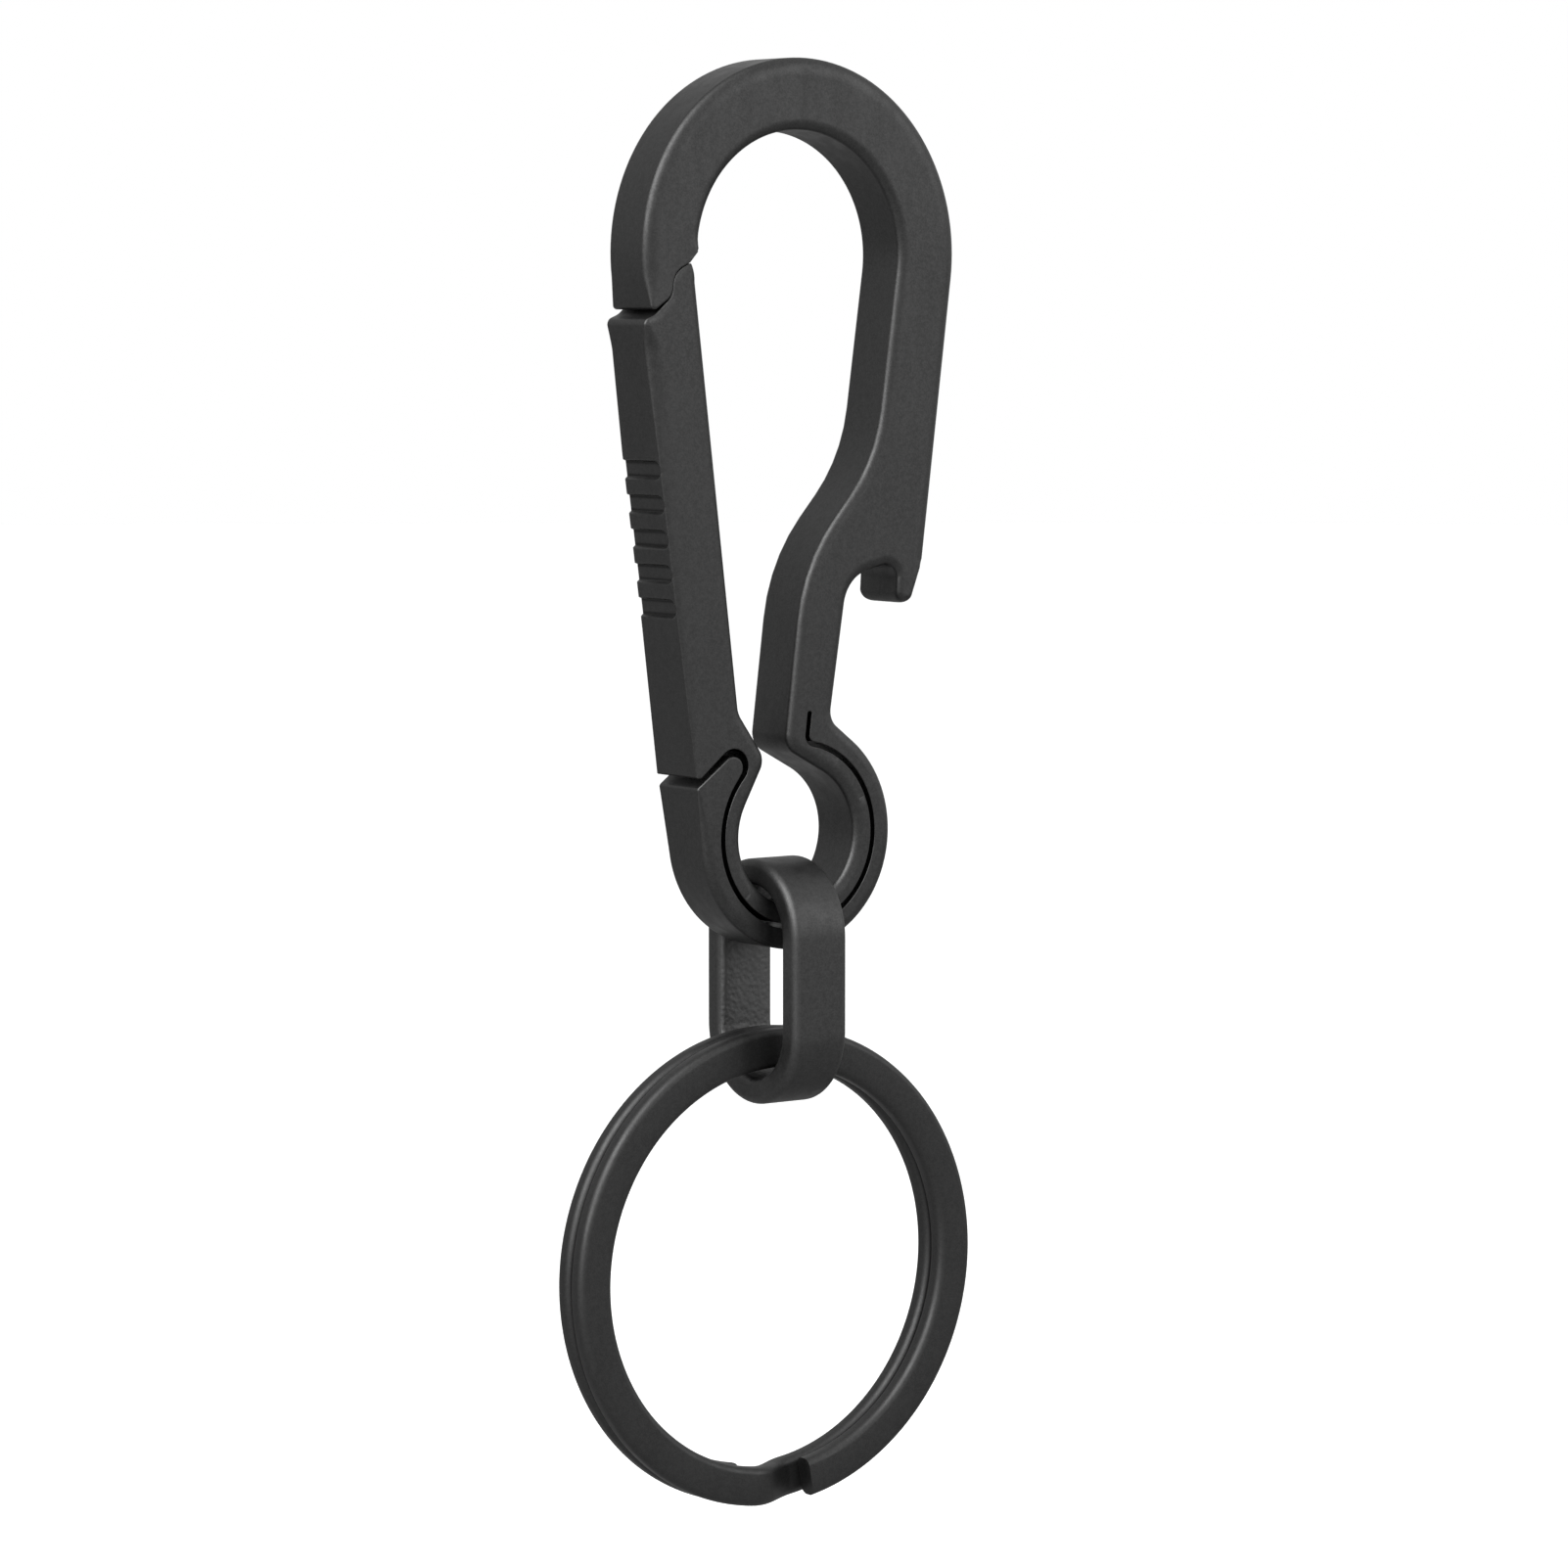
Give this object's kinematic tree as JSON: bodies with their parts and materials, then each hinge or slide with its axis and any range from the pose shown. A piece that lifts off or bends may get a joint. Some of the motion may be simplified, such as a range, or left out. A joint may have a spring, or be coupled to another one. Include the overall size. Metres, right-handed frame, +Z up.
{
  "type": "carabiner keyring",
  "caption": "One-piece spring-gate carabiner with a bottle opener notch, hung with a flat connector link and a split key ring.",
  "frame": {"origin": "the point the keyring hangs from, at the top of the arch's inside, in the middle of the plate's thickness", "axes": "+X towards the spine and bottle opener, +Y from the front face to the back face of the plate, +Z up, the way the keyring hangs"},
  "size_m": [0.032, 0.0102, 0.0958],
  "materials": {
    "coated_plate": "matte black coated metal plate, fine satin bead-blasted grain, edges rounded and slightly brighter",
    "coated_strip": "matte black coated strip with a slightly pebbled inner face",
    "coated_wire": "satin black coated flat spring wire, glossier rounded edges"
  },
  "bodies": {
    "frame": {"carabiner_frame": "coated_plate"},
    "leaf_1": {"leaf_spring_1": "coated_plate"},
    "leaf_2": {"leaf_spring_2": "coated_plate"},
    "leaf_3": {"leaf_spring_3": "coated_plate"},
    "leaf_4": {"leaf_spring_4": "coated_plate"},
    "leaf_5": {"leaf_spring_5": "coated_plate"},
    "leaf_6": {"leaf_spring_6": "coated_plate"},
    "leaf_7": {"leaf_spring_7": "coated_plate"},
    "leaf_8": {"leaf_spring_8": "coated_plate"},
    "gate": {"gate": "coated_plate"},
    "link": {"connector_link": "coated_strip"},
    "split_ring": {"split_ring": "coated_wire"}
  },
  "joints": [
    {"name": "gate_open", "type": "hinge", "parent": "frame", "child": "gate", "pos_m": [0.00015, 0, -0.04736], "axis": [0, 1, 0], "range_deg": [0, 16], "stiffness_Nm_per_rad": 0.5},
    {"name": "leaf_bend_1", "type": "hinge", "parent": "frame", "child": "leaf_1", "pos_m": [0.00275, 0, -0.04182], "axis": [0, 1, 0], "range_deg": [0, 1.78]},
    {"name": "leaf_bend_2", "type": "hinge", "parent": "frame", "child": "leaf_2", "pos_m": [0.00369, 0, -0.04295], "axis": [0, 1, 0], "range_deg": [0, 3.56]},
    {"name": "leaf_bend_3", "type": "hinge", "parent": "frame", "child": "leaf_3", "pos_m": [0.00414, 0, -0.04429], "axis": [0, 1, 0], "range_deg": [0, 5.33]},
    {"name": "leaf_bend_4", "type": "hinge", "parent": "frame", "child": "leaf_4", "pos_m": [0.00405, 0, -0.04563], "axis": [0, 1, 0], "range_deg": [0, 7.11]},
    {"name": "leaf_bend_5", "type": "hinge", "parent": "frame", "child": "leaf_5", "pos_m": [0.00351, 0, -0.04675], "axis": [0, 1, 0], "range_deg": [0, 8.89]},
    {"name": "leaf_bend_6", "type": "hinge", "parent": "frame", "child": "leaf_6", "pos_m": [0.00266, 0, -0.04751], "axis": [0, 1, 0], "range_deg": [0, 10.67]},
    {"name": "leaf_bend_7", "type": "hinge", "parent": "frame", "child": "leaf_7", "pos_m": [0.0017, 0, -0.04783], "axis": [0, 1, 0], "range_deg": [0, 12.45]},
    {"name": "leaf_bend_8", "type": "hinge", "parent": "frame", "child": "leaf_8", "pos_m": [0.00081, 0, -0.04775], "axis": [0, 1, 0], "range_deg": [0, 14.22]},
    {"name": "link_swing", "type": "hinge", "parent": "leaf_5", "child": "link", "pos_m": [-0.0002, 0, -0.0462], "axis": [0, 1, 0], "range_deg": [-45, 45]},
    {"name": "split_ring_swing", "type": "hinge", "parent": "link", "child": "split_ring", "pos_m": [-0.0004, 0, -0.05906], "axis": [1, 0, 0], "range_deg": [-80, 80]}
  ],
  "couplings": [
    {"joint": "leaf_bend_1", "follows": "gate_open", "ratio": 0.11111},
    {"joint": "leaf_bend_2", "follows": "gate_open", "ratio": 0.22222},
    {"joint": "leaf_bend_3", "follows": "gate_open", "ratio": 0.33333},
    {"joint": "leaf_bend_4", "follows": "gate_open", "ratio": 0.44444},
    {"joint": "leaf_bend_5", "follows": "gate_open", "ratio": 0.55556},
    {"joint": "leaf_bend_6", "follows": "gate_open", "ratio": 0.66667},
    {"joint": "leaf_bend_7", "follows": "gate_open", "ratio": 0.77778},
    {"joint": "leaf_bend_8", "follows": "gate_open", "ratio": 0.88889}
  ]
}
